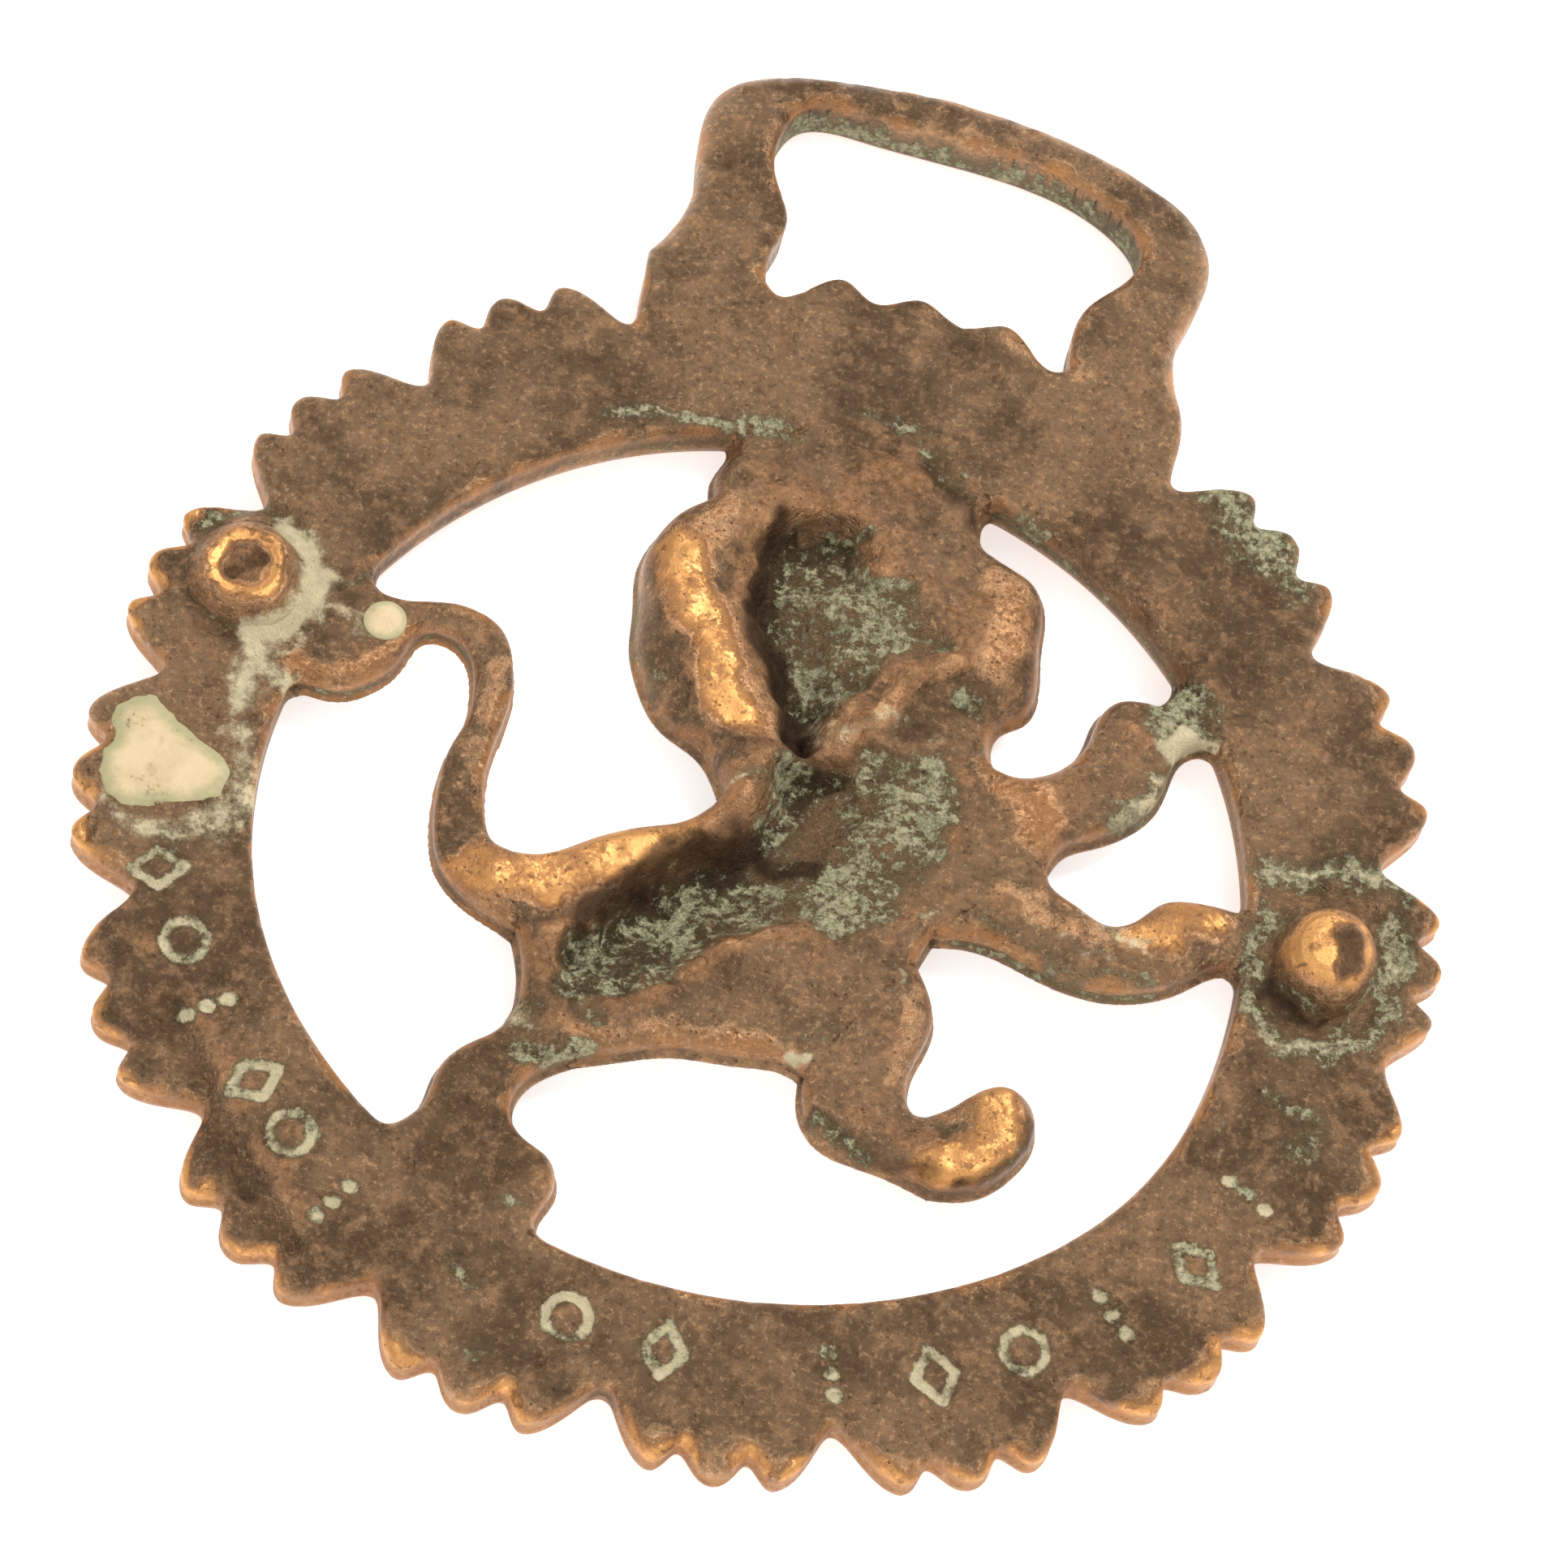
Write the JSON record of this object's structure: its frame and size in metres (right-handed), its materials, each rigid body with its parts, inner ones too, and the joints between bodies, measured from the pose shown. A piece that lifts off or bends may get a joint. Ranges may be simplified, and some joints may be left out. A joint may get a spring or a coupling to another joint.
{
  "type": "horse brass",
  "caption": "Cast horse brass: a scalloped ring with a strap hanger loop and a hollow-backed lion rampant inside, with casting lugs on the back.",
  "frame": {"origin": "under the middle of the casting, on the plane that its front rests on", "axes": "+Y from the ring's centre to the strap hanger, +Z out of the hollow back, +X to the side that the lion faces as seen from the back"},
  "size_m": [0.0756, 0.089, 0.0063],
  "materials": {
    "aged_brass": "cast, brown patina with verdigris in the hollows and rubbed golden edges",
    "worn_brass": "cast, rubbed bright on top",
    "dried_polish": "dull, chalky"
  },
  "bodies": {
    "root": {"toothed_ring": "aged_brass", "strap_hanger": "aged_brass", "lion_head_and_mane": "aged_brass", "lion_torso": "aged_brass", "lion_upper_foreleg": "aged_brass", "lion_lower_foreleg": "aged_brass", "lion_raised_hind_leg": "aged_brass", "lion_standing_hind_leg": "aged_brass", "lion_tail": "aged_brass", "left_casting_lug": "worn_brass", "right_casting_lug": "worn_brass", "polish_residue_spot": "dried_polish", "polish_residue_patch": "dried_polish"}
  },
  "joints": []
}
